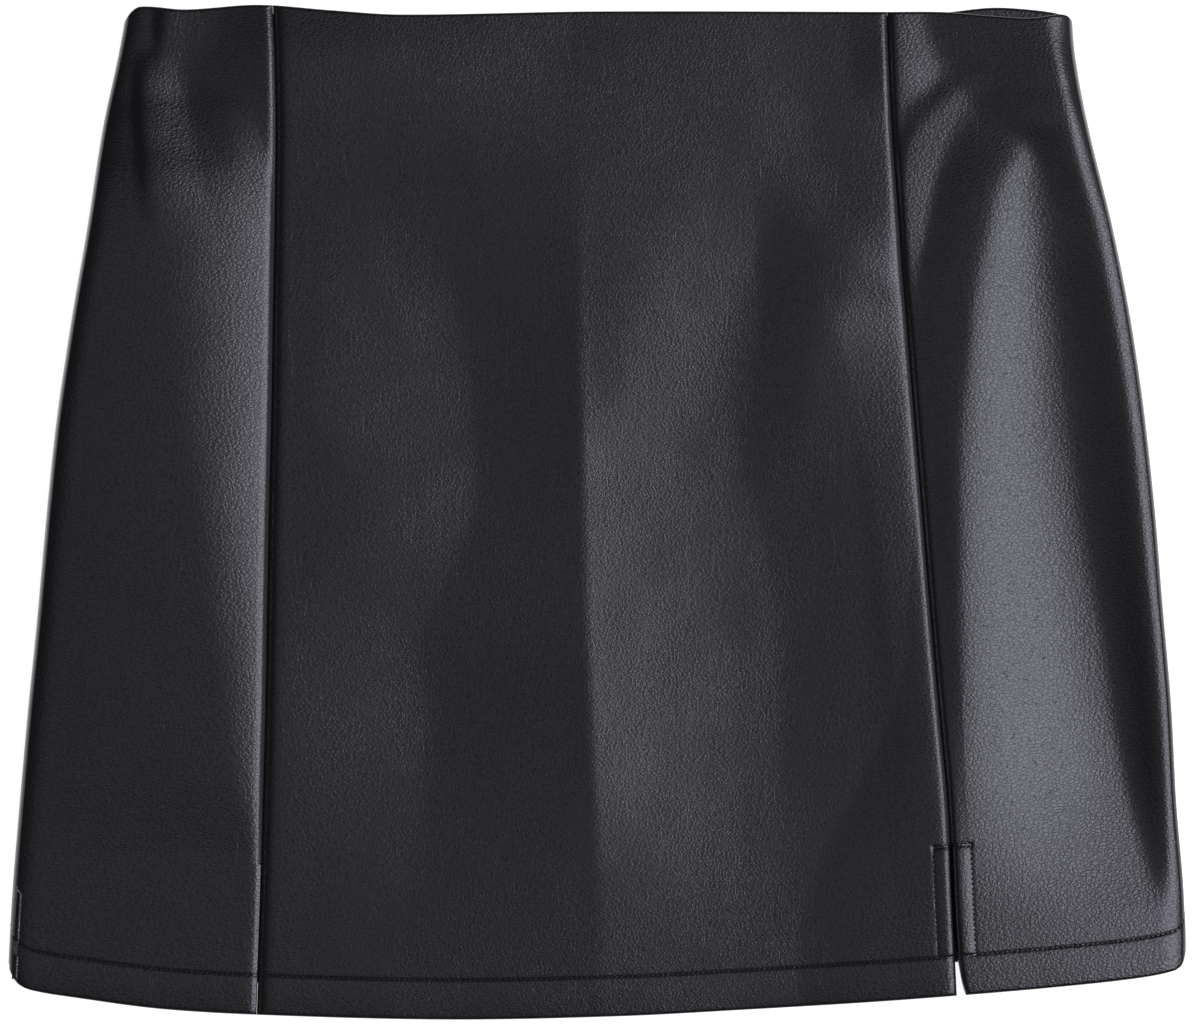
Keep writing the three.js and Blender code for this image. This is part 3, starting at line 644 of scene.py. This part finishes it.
def relief(name, shape):
    """Fine form on the outer face: stitched bands, seams with one side lower, and handling ripples."""
    size = sizes()
    hem = shape["hem"]
    total = HEM_PAD * band(hem, size["hem_row"]) - HEM_GROOVE * near(hem - size["hem_row"], STITCH_REACH)
    if name == "front_centre_panel":
        total = total - 0.8 * near(shape["start"], 2.0)
    if name == "front_side_left_panel":
        total = total - 0.7 * near(shape["start"], 1.4) * (1 - in_slit(shape))
    if name in ("front_centre_panel", "front_side_right_panel"):
        rolled, wide = (0.5, 3.2) if name == "front_side_right_panel" else (0.35, 2.2)
        total = total - rolled * np.clip(1 - shape["end"] / wide, 0, 1) ** 2 * (1 - 0.8 * in_slit(shape))
    if name in slit_rows():
        row = slit_rows()[name]
        from_edge = shape["slit"]
        stitched = in_slit(shape) * smooth(size["hem_row"] - 1, size["hem_row"] + 1, hem)
        at_bar = near(hem - size["slit_height"] + 0.7, 1.1) * (1 - smooth(row, row + 1.2, from_edge))
        total = total - 0.08 * near(from_edge - row, 0.7) * stitched - 0.3 * at_bar
        if name == "front_side_left_panel":
            total = total + 0.3 * band(from_edge, row) * stitched
            total = total - SLIT_CURL * np.clip(1 - from_edge / SLIT_CURL_REACH, 0, 1) ** 2 * in_slit(shape)
        else:
            total = total + 0.35 * np.clip(1 - from_edge / row, 0, 1) * stitched
    return total + ripples(shape["place"])


def ripples(place):
    """Soft unevenness of cloth that has been handled, under a tenth of a millimetre high."""
    source = np.random.default_rng(7)
    total = np.zeros(place.shape[:2])
    for _ in range(RIPPLES):
        length = source.uniform(16, LONGEST_RIPPLE)
        direction = source.uniform(-0.9, 0.9)
        phase = source.uniform(0, 2 * np.pi)
        travel = place[..., 0] * math.cos(direction) + place[..., 1] * math.sin(direction)
        total += length / LONGEST_RIPPLE * np.sin(2 * np.pi * travel / length + phase)
    return RIPPLE_HEIGHT * total


def faces_of(name):
    """A panel's outer and inner faces, which meet half way through the cloth along every edge."""
    size = sizes()
    shape = panel(name)
    row = slit_rows().get(name, 0)
    beside_slit = in_slit(shape) * (shape["slit"] < NOT_NEAR)
    turned = np.maximum.reduce([
        1 - smooth(size["hem_turning"], size["hem_turning"] + TURNED_END, shape["hem"]),
        1 - smooth(size["waist_turning"], size["waist_turning"] + TURNED_END, shape["waist"]),
        beside_slit * (1 - smooth(row + SLIT_TURNED, row + SLIT_TURNED + TURNED_END, shape["slit"])),
    ])
    wall = size["layer"] * (1 + turned)
    free = np.minimum(shape["hem"], shape["waist"])
    seam = np.minimum(shape["start"], shape["end"])
    fuller = mix(SEAM_ROUNDING, wall / 2, beside_slit)
    seam_rounding = np.where(shape["slit"] < row + 2, fuller, SEAM_ROUNDING)
    closing = wall / 2 * np.maximum(rounding(free, wall / 2), rounding(seam, seam_rounding))
    raised = relief(name, shape) * smooth(0, EDGE_FADE, free)
    if not name.startswith("front"):
        raised = np.minimum(raised, 0)
    outer = shape["place"] + shape["out"] * (raised - closing)[..., None]
    inner = shape["place"] + shape["out"] * (raised + closing - wall)[..., None]
    return outer, inner


def rounding(edge, radius):
    """Share of half the cloth's thickness that a rounded edge has fallen by, at a distance from that edge."""
    inside = np.clip(1 - edge / radius, 0, 1)
    return 1 - np.sqrt(1 - inside**2)


# Making meshes


def only(piece):
    """Leaves one piece selected and active."""
    bpy.ops.object.select_all(action="DESELECT")
    piece.select_set(True)
    bpy.context.view_layer.objects.active = piece


def sheet_piece(name, outer, inner):
    """A grid laid over the outer face and back under the inner face, and closed where the two meet."""
    around = np.concatenate([outer, inner[:, ::-1]], axis=1)
    rows, columns = around.shape[:2]
    bpy.ops.object.select_all(action="DESELECT")
    bpy.ops.mesh.primitive_grid_add(x_subdivisions=columns - 1, y_subdivisions=rows - 1, size=1)
    piece = bpy.context.object
    piece.name = piece.data.name = name
    flat = np.empty(len(piece.data.vertices) * 3)
    piece.data.vertices.foreach_get("co", flat)
    cell = flat.reshape(-1, 3)[:, :2] + 0.5
    column = np.rint(cell[:, 0] * (columns - 1)).astype(int)
    row = np.rint(cell[:, 1] * (rows - 1)).astype(int)
    piece.data.vertices.foreach_set("co", (around[row, column] * MM).ravel())
    bpy.ops.object.mode_set(mode="EDIT")
    bpy.ops.mesh.select_all(action="SELECT")
    bpy.ops.mesh.remove_doubles(threshold=WELD * MM)
    bpy.ops.object.mode_set(mode="OBJECT")
    bpy.ops.object.shade_smooth()
    return piece


def joined_copies(name, model, places, ways, outs):
    """One mesh of many small copies of a model, each turned along its way and up out of the cloth."""
    corners = np.array([vertex.co for vertex in model.data.vertices])
    faces = [list(face.vertices) for face in model.data.polygons]
    side = np.cross(outs, ways)
    turned = (
        corners[None, :, 0:1] * ways[:, None, :]
        + corners[None, :, 1:2] * side[:, None, :]
        + corners[None, :, 2:3] * outs[:, None, :]
    )
    points = (places[:, None, :] + turned).reshape(-1, 3)
    all_faces = [[k * len(corners) + v for v in face] for k in range(len(places)) for face in faces]
    mesh = bpy.data.meshes.new(name)
    mesh.from_pydata(points.tolist(), [], all_faces)
    piece = bpy.data.objects.new(name, mesh)
    bpy.context.collection.objects.link(piece)
    only(piece)
    bpy.ops.object.shade_smooth()
    bpy.data.objects.remove(model)
    return piece


def rod(length, thickness):
    """A short rounded rod along X, as a model to copy."""
    bpy.ops.object.select_all(action="DESELECT")
    bpy.ops.mesh.primitive_uv_sphere_add(segments=8, ring_count=6, radius=0.5)
    piece = bpy.context.object
    bpy.ops.object.mode_set(mode="EDIT")
    bpy.ops.mesh.select_all(action="SELECT")
    bpy.ops.transform.resize(value=(length, thickness, thickness))
    bpy.ops.object.mode_set(mode="OBJECT")
    return piece


def line_through(points, outs, pitch):
    """Places a pitch apart along a line over the cloth, with the way on and the way out at each."""
    steps = np.linalg.norm(np.diff(points, axis=0), axis=1)
    travel = np.concatenate([[0], np.cumsum(steps)])
    count = int((travel[-1] - pitch) // pitch)
    start = (travel[-1] - count * pitch) / 2
    at = start + pitch * np.arange(count + 1)

    def read(values, where):
        return np.stack([np.interp(where, travel, values[:, k]) for k in range(3)], axis=1)

    ways = read(points, at + 0.3) - read(points, at - 0.3)
    ways /= np.linalg.norm(ways, axis=1, keepdims=True)
    out = read(outs, at)
    out -= ways * np.sum(out * ways, axis=1, keepdims=True)
    out /= np.linalg.norm(out, axis=1, keepdims=True)
    return read(points, at), ways, out


# Materials

# painted shade: the cracks' colour is darker than the pebbles' to stand for the shade that falls inside the
# cracks
CRACK_SHADE_COLOUR = "#0b0b0d"
PEBBLE_COLOUR = "#1a1a1c"
AIR_LIGHT = 0.06  # strength of the light from all round
FLOOR_LEVEL = -0.0002  # just under the skirt, in metres


def linear(hex_colour):
    """An sRGB hex colour as the linear colour that shaders take."""
    channels = [int(hex_colour[k : k + 2], 16) / 255 for k in (1, 3, 5)]
    return tuple(c / 12.92 if c <= 0.04045 else ((c + 0.055) / 1.055) ** 2.4 for c in channels) + (1.0,)


def add_node(material, kind, settings=None, **links):
    """Adds a node, with settings for its properties and sockets, and with links into its sockets."""
    tree = material.node_tree
    node = tree.nodes.new(kind)
    for key, value in (settings or {}).items():
        if isinstance(key, str) and hasattr(node, key):
            setattr(node, key, value)
        else:
            node.inputs[key].default_value = value
    for key, source in links.items():
        tree.links.new(source, node.inputs[int(key[2:]) if key.startswith("in") else key.replace("_", " ")])
    return node


def blank(name):
    material = bpy.data.materials.new(name)
    material.use_nodes = True
    material.node_tree.nodes.clear()
    return material


def grained_pu_leather():
    """Polyurethane-coated cloth embossed with a pebble grain.

    To the eye it is near black and satin, with matt cracks between pebbles that catch the light. The cracks'
    colour is darker than the pebbles': painted shade for the shade inside them. The pebbles are wider than high,
    and larger near the side panels. A few long fine creases from handling cross them.
    """
    leather = bpy.context.scene.skirt_leather
    grain = leather.grain  # matched to the photo's pebbles, 3 to 6 pixels of 0.41 mm wide
    m = blank("grained_pu_leather")
    place = add_node(m, "ShaderNodeTexCoord").outputs["Object"]
    warp = add_node(m, "ShaderNodeTexNoise", {"Scale": 0.7 / grain, "Detail": 2.0}, Vector=place)
    centring = {"operation": "SUBTRACT", 1: (0.5, 0.5, 0.5)}
    shifted = add_node(m, "ShaderNodeVectorMath", centring, in0=warp.outputs["Color"])
    bending = {"operation": "SCALE", "Scale": 1.1 * grain}
    scaled = add_node(m, "ShaderNodeVectorMath", bending, in0=shifted.outputs[0])
    warped = add_node(m, "ShaderNodeVectorMath", {"operation": "ADD"}, in0=place, in1=scaled.outputs[0])
    stretch = {"Scale": (0.62, 1, 1), "Rotation": (0, 0, 0.15)}
    wide = add_node(m, "ShaderNodeMapping", stretch, Vector=warped.outputs[0])
    edges = {"feature": "DISTANCE_TO_EDGE"}
    large = add_node(m, "ShaderNodeTexVoronoi", {**edges, "Scale": 1 / grain}, Vector=wide.outputs[0])
    small = add_node(m, "ShaderNodeTexVoronoi", {**edges, "Scale": 1.3 / grain}, Vector=wide.outputs[0])
    axes = add_node(m, "ShaderNodeSeparateXYZ", Vector=place)
    outward = add_node(m, "ShaderNodeMath", {"operation": "ABSOLUTE"}, in0=axes.outputs["X"])
    seam_side = {"From Min": 0.08, "From Max": 0.14, "To Max": 0.6}  # metres from the centre
    sides = add_node(m, "ShaderNodeMapRange", seam_side, Value=outward.outputs[0])
    patches = add_node(m, "ShaderNodeTexNoise", {"Scale": 26.0, "Detail": 2.0}, Vector=place)  # 38 mm
    both = {"in0": sides.outputs[0], "in1": patches.outputs["Fac"]}
    zone = add_node(m, "ShaderNodeMath", {"operation": "ADD"}, **both)
    zone_edge = add_node(m, "ShaderNodeMapRange", {"From Min": 0.5, "From Max": 0.8}, Value=zone.outputs[0])
    pebbles = add_node(
        m,
        "ShaderNodeMix",
        {"data_type": "FLOAT"},
        in0=zone_edge.outputs[0],
        in2=small.outputs["Distance"],
        in3=large.outputs["Distance"],
    )
    soft = {"interpolation_type": "SMOOTHSTEP"}
    dome = add_node(m, "ShaderNodeMapRange", {**soft, "From Max": 0.34}, Value=pebbles.outputs[0])
    top = add_node(m, "ShaderNodeMapRange", {**soft, "From Max": 0.08}, Value=pebbles.outputs[0])
    long = {"Scale": (95, 22, 95), "Rotation": (0, 0, 0.2)}  # creases 10 mm apart and 45 mm long
    drawn = add_node(m, "ShaderNodeMapping", long, Vector=place)
    wander = {"Scale": 1.0, "Detail": 1.0, "Distortion": 0.8}
    flow = add_node(m, "ShaderNodeTexNoise", wander, Vector=drawn.outputs[0])
    middle = add_node(m, "ShaderNodeMath", {"operation": "SUBTRACT", 1: 0.5}, in0=flow.outputs["Fac"])
    ridge = add_node(m, "ShaderNodeMath", {"operation": "ABSOLUTE"}, in0=middle.outputs[0])
    thin = {**soft, "From Max": 0.014, "To Min": 1.0, "To Max": 0.0}
    line = add_node(m, "ShaderNodeMapRange", thin, Value=ridge.outputs[0])
    sparse = add_node(m, "ShaderNodeTexNoise", {"Scale": 34.0, "Detail": 2.0}, Vector=place)
    patch = {"From Min": 0.5, "From Max": 0.62}
    where = add_node(m, "ShaderNodeMapRange", patch, Value=sparse.outputs["Fac"])
    both = {"in0": line.outputs[0], "in1": where.outputs[0]}
    crease = add_node(m, "ShaderNodeMath", {"operation": "MULTIPLY"}, **both)
    cut = {"operation": "MULTIPLY_ADD", 1: -0.4}  # a crease's depth against a pebble's height
    height = add_node(m, "ShaderNodeMath", cut, in0=crease.outputs[0], in2=dome.outputs[0])
    deep = {"Strength": 1.0, "Distance": leather.depth}
    bump = add_node(m, "ShaderNodeBump", deep, Height=height.outputs[0])
    # painted shade: this mix darkens the cracks' colour for the shade in them; their higher roughness is the
    # finish's own
    colours = {"data_type": "RGBA", 6: linear(CRACK_SHADE_COLOUR), 7: linear(PEBBLE_COLOUR)}
    painted_crack_shade = add_node(m, "ShaderNodeMix", colours, in0=top.outputs[0])
    finish = {"To Min": leather.crack_roughness, "To Max": leather.roughness}
    gloss = add_node(m, "ShaderNodeMapRange", finish, Value=top.outputs[0])
    shader = add_node(
        m,
        "ShaderNodeBsdfPrincipled",
        {"IOR": 1.5, "Metallic": 0.0},
        Base_Color=painted_crack_shade.outputs[2],
        Roughness=gloss.outputs[0],
        Normal=bump.outputs[0],
    )
    add_node(m, "ShaderNodeOutputMaterial", Surface=shader.outputs[0])
    return m


def spun_polyester_thread():
    """Black spun polyester sewing thread: matt, with a fine twist that catches little light.

    The twist is 0.2 mm from turn to turn.
    """
    m = blank("spun_polyester_thread")
    place = add_node(m, "ShaderNodeTexCoord").outputs["Object"]
    twist = add_node(m, "ShaderNodeTexNoise", {"Scale": 5000.0, "Detail": 1.0}, Vector=place)
    bump = add_node(m, "ShaderNodeBump", {"Strength": 0.6, "Distance": 0.00004}, Height=twist.outputs["Fac"])
    spun = {"Base Color": linear("#060607"), "Roughness": 0.7, "IOR": 1.45}
    shader = add_node(m, "ShaderNodeBsdfPrincipled", spun, Normal=bump.outputs[0])
    add_node(m, "ShaderNodeOutputMaterial", Surface=shader.outputs[0])
    return m


def opal_acrylic():
    """Opal acrylic table top lit from below: plain white, with hardly a shadow on it."""
    strength = bpy.context.scene.skirt_stage.floor_glow
    glow = {"Emission Color": (1, 1, 1, 1), "Emission Strength": strength}
    opal = {"Base Color": linear("#f4f4f4"), "Roughness": 0.9, **glow}
    m = blank("opal_acrylic")
    shader = add_node(m, "ShaderNodeBsdfPrincipled", opal)
    add_node(m, "ShaderNodeOutputMaterial", Surface=shader.outputs[0])
    return m


def material(make):
    """The one material that a function makes."""
    return bpy.data.materials.get(make.__name__) or make()


def dress(piece, make, node=None):
    """Gives a piece its material and its body and, where it stands for a solid, hides that solid's node."""
    piece.data.materials.clear()
    piece.data.materials.append(material(make))
    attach(piece, "root")
    if node:
        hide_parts(node)


def cloth_panel(name):
    """One panel of the skirt in the place of its solid."""
    outer, inner = faces_of(name)
    piece = sheet_piece(name + "_cloth", outer, inner)
    dress(piece, grained_pu_leather, name)
    shape = panel(name)["place"]


def thread_row(name, places, ways, outs, length, thickness):
    """A row of stitches that sink into the cloth."""
    stitch = rod(length * MM, thickness * MM)
    sunk = (places - outs * THREAD_SUNK) * MM
    sunk[:, 2] = np.maximum(sunk[:, 2], thickness / 2 * MM)  # the back's don't reach into the floor
    dress(joined_copies(name, stitch, sunk, ways, outs), spun_polyester_thread)


PANELS = (
    "front_centre_panel",
    "front_side_right_panel",
    "front_side_left_panel",
    "back_right_panel",
    "back_left_panel",
)


class SKIRT_OT_back_panels(Operator):
    """Lay the two back panels face down on the floor"""

    bl_idname = "skirt.back_panels"
    bl_label = "Back panels"

    def execute(self, context):
        for name in ("back_right_panel", "back_left_panel"):
            cloth_panel(name)
        return {"FINISHED"}


class SKIRT_OT_front_panels(Operator):
    """Lay the three front panels over the back"""

    bl_idname = "skirt.front_panels"
    bl_label = "Front panels"

    def execute(self, context):
        for name in ("front_centre_panel", "front_side_right_panel", "front_side_left_panel"):
            cloth_panel(name)
        return {"FINISHED"}


class SKIRT_OT_hem_stitches(Operator):
    """Sew the hem: one row of stitches round the skirt"""

    bl_idname = "skirt.hem_stitches"
    bl_label = "Hem stitches"

    def execute(self, context):
        size = sizes()
        pitch = size["stitch"]
        thread = size["thickness"]
        for name in PANELS:
            shape = panel(name)
            outer, _ = faces_of(name)
            row = int(np.argmin(np.abs(shape["hem"][:, 0] - size["hem_row"])))
            keep = np.minimum(shape["start"][row], shape["end"][row]) > 1.0
            keep &= shape["slit"][row] > slit_rows().get(name, 0)
            places, ways, outs = line_through(outer[row][keep], shape["out"][row][keep], pitch)
            thread_row(name + "_hem_thread", places, ways, outs, pitch - STITCH_SPACE, thread)
        return {"FINISHED"}


class SKIRT_OT_slit_stitches(Operator):
    """Sew the slit: a row of stitches up each side, ended by two short rows across"""

    bl_idname = "skirt.slit_stitches"
    bl_label = "Slit stitches"

    def execute(self, context):
        size = sizes()
        pitch = size["stitch"]
        thread = size["thickness"]
        for name, row in slit_rows().items():
            shape = panel(name)
            outer, _ = faces_of(name)
            top = int(np.argmin(np.abs(shape["hem"][:, 0] - size["slit_height"])))
            beside = np.abs(shape["slit"][top] - row)
            column = int(np.argmin(beside))
            up = slice(int(np.argmin(np.abs(shape["hem"][:, 0] - size["hem_row"]))), top)
            places, ways, outs = line_through(outer[up, column], shape["out"][up, column], pitch)
            thread_row(name + "_slit_thread", places, ways, outs, pitch - STITCH_SPACE, thread)
            across = np.flatnonzero((shape["slit"][top] < row + 0.2) & (shape["slit"][top] > 0.7))
            bar_pitch = row / (size["bar_stitches"] + 0.5)
            bars = [
                line_through(outer[k, across], shape["out"][k, across], bar_pitch) for k in (top, top - 3)
            ]
            places, ways, outs = (np.concatenate(parts) for parts in zip(*bars))
            thread_row(name + "_slit_bar", places, ways, outs, bar_pitch - BAR_SPACE, thread)
        return {"FINISHED"}


def soft_light(name, lean, away, size, power, colour):
    """A soft box that faces the skirt, leaning from the vertical toward the wearer's left."""
    data = bpy.data.lights.new(name, "AREA")
    data.shape = "RECTANGLE"
    data.size, data.size_y = size
    data.energy = power
    data.color = linear(colour)[:3]
    light = bpy.data.objects.new(name, data)
    bpy.context.collection.objects.link(light)
    turn = math.radians(lean)
    light.location = (away * math.sin(turn), 0, away * math.cos(turn))
    light.rotation_euler = (0, turn, 0)


class SKIRT_OT_stage(Operator):
    """Set up the floor, the soft lights from the wearer's left and the camera straight above"""

    bl_idname = "skirt.stage"
    bl_label = "Studio"

    def execute(self, context):
        stage = context.scene.skirt_stage
        bpy.ops.object.select_all(action="DESELECT")
        bpy.ops.mesh.primitive_plane_add(size=stage.floor, location=(0, 0, 0))
        floor = context.object
        floor.name = "studio_floor"
        for vertex in floor.data.vertices:
            vertex.co.z = FLOOR_LEVEL
        floor.data.materials.append(material(opal_acrylic))
        soft_light("key", lean=22, away=8, size=(3.4, 3.4), power=stage.key_power, colour="#eeeeff")
        soft_light("top", lean=-6, away=6, size=(2.6, 1.6), power=stage.top_power, colour="#fafaff")
        soft_light("side", lean=52, away=6, size=(4.0, 4.0), power=stage.side_power, colour="#eeeeff")
        soft_light("fill", lean=-80, away=5, size=(3.0, 3.0), power=stage.fill_power, colour="#eeeeff")
        world = bpy.data.worlds.new("studio_air")
        world.use_nodes = True
        world.node_tree.nodes["Background"].inputs["Color"].default_value = (1, 1, 1, 1)
        world.node_tree.nodes["Background"].inputs["Strength"].default_value = AIR_LIGHT
        context.scene.world = world
        context.scene.view_settings.view_transform = "Standard"
        self.camera(context, stage)
        return {"FINISHED"}

    def camera(self, context, stage):
        photo_width = 1200
        pixel = 0.420 / 1013  # the front is 420 mm long and covers 1013 pixels
        centre = Vector(((600 - 596) * pixel, (512.5 - 515.5) * pixel, 0))
        lens_data = bpy.data.cameras.new("camera")
        camera = bpy.data.objects.new("camera", lens_data)
        context.collection.objects.link(camera)
        camera.location = centre + Vector((0, 0, stage.camera_height))
        outline_away = stage.camera_height - LOOP_MIDDLE * MM
        lens_data.lens = lens_data.sensor_width * outline_away / (photo_width * pixel)
        context.scene.camera = camera


class SKIRT_PT_sidebar(Panel):
    """Lists the steps that build the skirt"""

    bl_label = "Leather mini skirt"
    bl_idname = "SKIRT_PT_sidebar"
    bl_space_type = "VIEW_3D"
    bl_region_type = "UI"
    bl_category = "Skirt"

    def draw(self, context):
        for step in STEPS:
            self.layout.operator(step.bl_idname)
        for group in GROUPS:
            holder = getattr(context.scene, GROUPS[group])
            for name in group.__annotations__:
                self.layout.prop(holder, name)


STEPS = (
    SKIRT_OT_back_panels,
    SKIRT_OT_front_panels,
    SKIRT_OT_hem_stitches,
    SKIRT_OT_slit_stitches,
    SKIRT_OT_stage,
)
GROUPS = {
    SkirtCloth: "skirt_cloth",
    SkirtLeather: "skirt_leather",
    SkirtThread: "skirt_thread",
    SkirtStage: "skirt_stage",
}


def register():
    for group, name in GROUPS.items():
        bpy.utils.register_class(group)
        setattr(bpy.types.Scene, name, PointerProperty(type=group))
    for kind in (*STEPS, SKIRT_PT_sidebar):
        bpy.utils.register_class(kind)


def unregister():
    for kind in (SKIRT_PT_sidebar, *reversed(STEPS)):
        bpy.utils.unregister_class(kind)
    for group, name in reversed(GROUPS.items()):
        delattr(bpy.types.Scene, name)
        bpy.utils.unregister_class(group)


def main():
    register()
    bpy.ops.skirt.back_panels()
    bpy.ops.skirt.front_panels()
    bpy.ops.skirt.hem_stitches()
    bpy.ops.skirt.slit_stitches()
    bpy.ops.skirt.stage()


if __name__ == "__main__":
    main()
